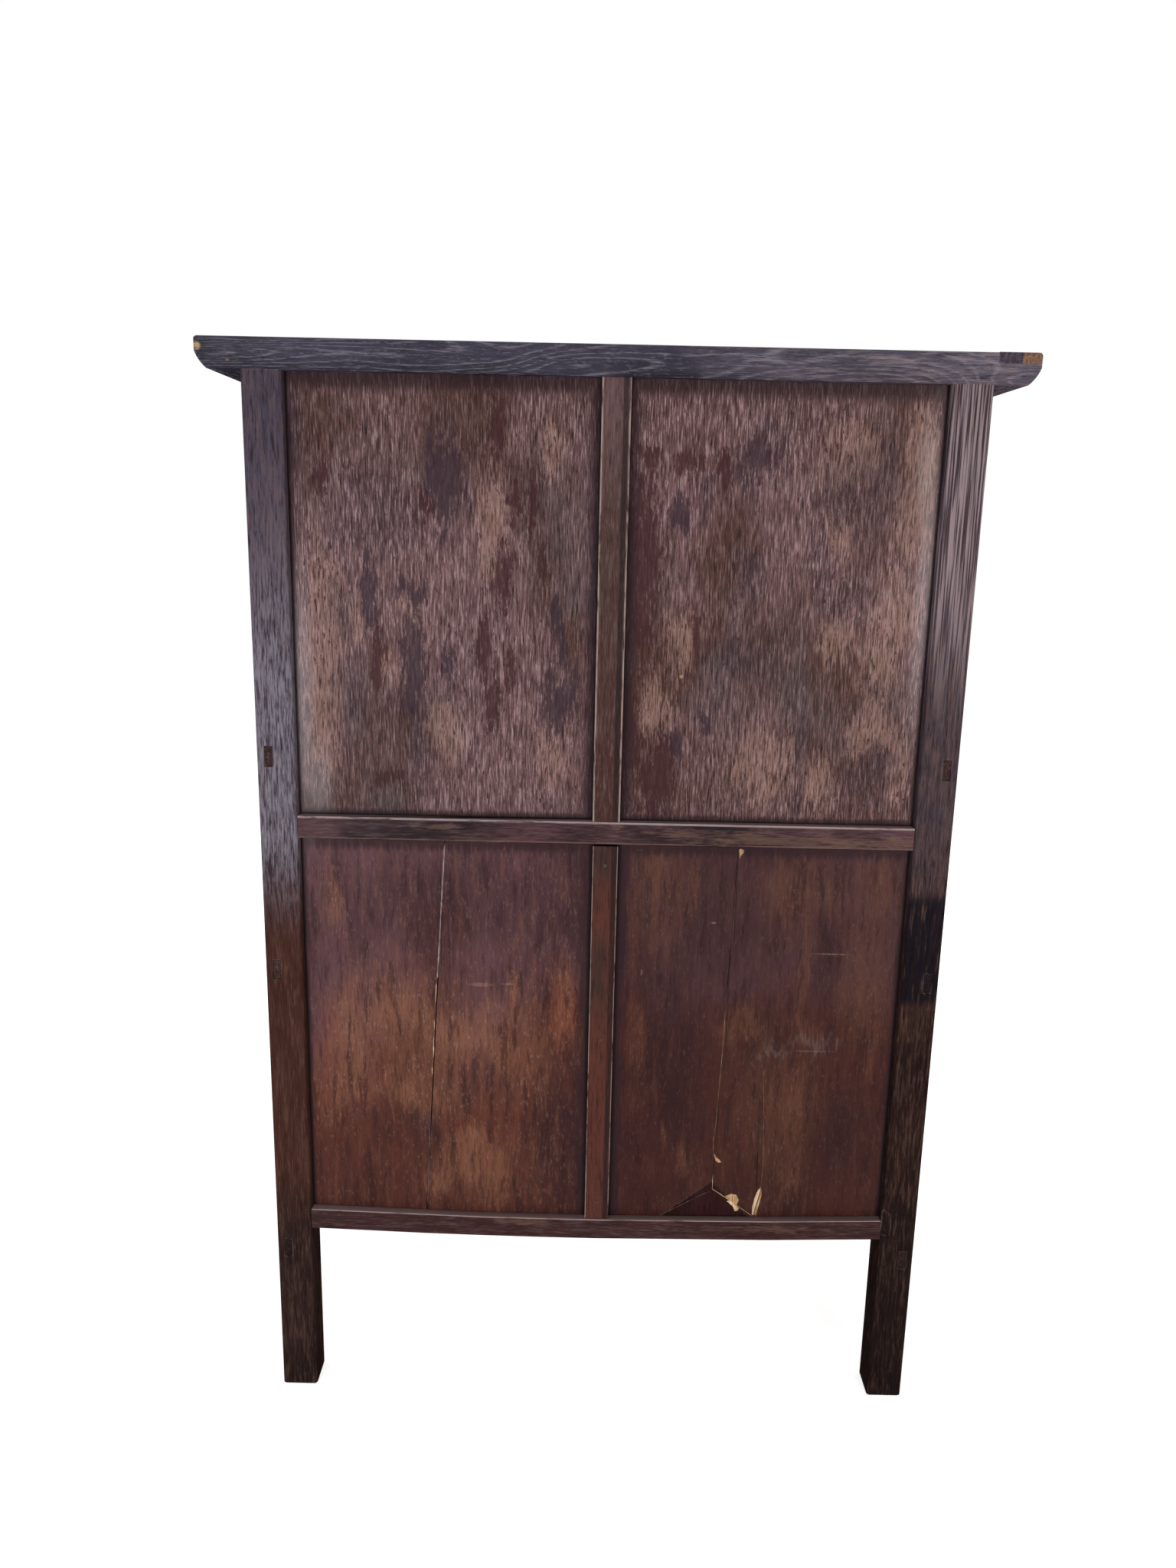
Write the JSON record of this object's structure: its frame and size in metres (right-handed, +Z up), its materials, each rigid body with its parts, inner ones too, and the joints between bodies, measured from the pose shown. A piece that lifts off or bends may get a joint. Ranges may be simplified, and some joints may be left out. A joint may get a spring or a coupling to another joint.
{
  "type": "chinese display cabinet",
  "caption": "Tall lacquered cabinet: open display with arch and railing over drawers and a cupboard with pivot-hung panel doors; boarded back and moulded cap.",
  "frame": {"origin": "on the floor, below the middle of the cap", "axes": "+X to the cabinet's right as its front is faced, +Y to its back, +Z up"},
  "size_m": [1.18, 0.572, 1.7],
  "materials": {
    "frame_wood": "worn dark lacquer",
    "panel_wood": "worn red-brown lacquer",
    "cap_wood": "worn grey-black lacquer",
    "inner_wood": "bare, aged",
    "brass": "aged satin",
    "iron": "dull, rusted"
  },
  "bodies": {
    "cabinet": {"back_bottom_rail": "frame_wood", "back_broken_corner": "panel_wood", "back_lower_batten": "frame_wood", "back_lower_panel_left": "panel_wood", "back_lower_panel_right": "panel_wood", "back_mid_rail": "frame_wood", "back_upper_panel_left": "panel_wood", "back_upper_panel_right": "panel_wood", "back_upper_stile": "frame_wood", "batten_nails": "iron", "cap_back_member": "cap_wood", "cap_battens": "inner_wood", "cap_front_member": "cap_wood", "cap_left_member": "cap_wood", "cap_panel": "cap_wood", "cap_right_member": "cap_wood", "cupboard_floor": "inner_wood", "cupboard_shelf": "inner_wood", "display_arch": "frame_wood", "display_floor": "inner_wood", "display_railing": "frame_wood", "drawer_divider": "frame_wood", "drawer_runners": "inner_wood", "front_apron": "frame_wood", "front_bottom_rail": "frame_wood", "front_display_rail": "frame_wood", "front_drawer_rail": "frame_wood", "post_back_left": "frame_wood", "post_back_right": "frame_wood", "post_front_left": "frame_wood", "post_front_right": "frame_wood", "side_bottom_rails": "frame_wood", "side_display_rails": "frame_wood", "side_lower_panels": "panel_wood", "side_middle_panels": "panel_wood", "side_shelf_rails": "frame_wood", "side_upper_panels": "panel_wood"},
    "door_left": {"door_left_hanging_stile": "frame_wood", "door_left_meeting_stile": "frame_wood", "door_left_panel": "panel_wood", "door_left_rails": "frame_wood", "door_pull_left_plate": "brass"},
    "drawer_left": {"drawer_left_bottom": "inner_wood", "drawer_left_box": "inner_wood", "drawer_left_front": "frame_wood", "drawer_pull_left_plate": "brass"},
    "door_bail_left": {"door_pull_left_bail": "brass"},
    "drawer_bail_left": {"drawer_pull_left_bail": "brass"},
    "door_right": {"door_pull_right_plate": "brass", "door_right_hanging_stile": "frame_wood", "door_right_meeting_stile": "frame_wood", "door_right_panel": "panel_wood", "door_right_rails": "frame_wood"},
    "drawer_right": {"drawer_pull_right_plate": "brass", "drawer_right_bottom": "inner_wood", "drawer_right_box": "inner_wood", "drawer_right_front": "frame_wood"},
    "door_bail_right": {"door_pull_right_bail": "brass"},
    "drawer_bail_right": {"drawer_pull_right_bail": "brass"}
  },
  "joints": [
    {"name": "door_left_hinge", "type": "hinge", "parent": "cabinet", "child": "door_left", "pos_m": [-0.46, -0.23, 0.657], "axis": [0, 0, -1], "range_deg": [0, 90]},
    {"name": "drawer_left_slide", "type": "slide", "parent": "cabinet", "child": "drawer_left", "axis": [0, -1, 0], "range_m": [0, 0.3]},
    {"name": "door_bail_left_hinge", "type": "hinge", "parent": "door_left", "child": "door_bail_left", "pos_m": [-0.027, -0.25, 0.665], "axis": [-1, 0, 0], "range_deg": [0, 100]},
    {"name": "drawer_bail_left_hinge", "type": "hinge", "parent": "drawer_left", "child": "drawer_bail_left", "pos_m": [-0.2465, -0.25, 1.056], "axis": [-1, 0, 0], "range_deg": [0, 100]},
    {"name": "door_right_hinge", "type": "hinge", "parent": "cabinet", "child": "door_right", "pos_m": [0.46, -0.23, 0.657], "axis": [0, 0, 1], "range_deg": [0, 90]},
    {"name": "drawer_right_slide", "type": "slide", "parent": "cabinet", "child": "drawer_right", "axis": [0, -1, 0], "range_m": [0, 0.3]},
    {"name": "door_bail_right_hinge", "type": "hinge", "parent": "door_right", "child": "door_bail_right", "pos_m": [0.027, -0.25, 0.665], "axis": [-1, 0, 0], "range_deg": [0, 100]},
    {"name": "drawer_bail_right_hinge", "type": "hinge", "parent": "drawer_right", "child": "drawer_bail_right", "pos_m": [0.2465, -0.25, 1.056], "axis": [-1, 0, 0], "range_deg": [0, 100]}
  ]
}
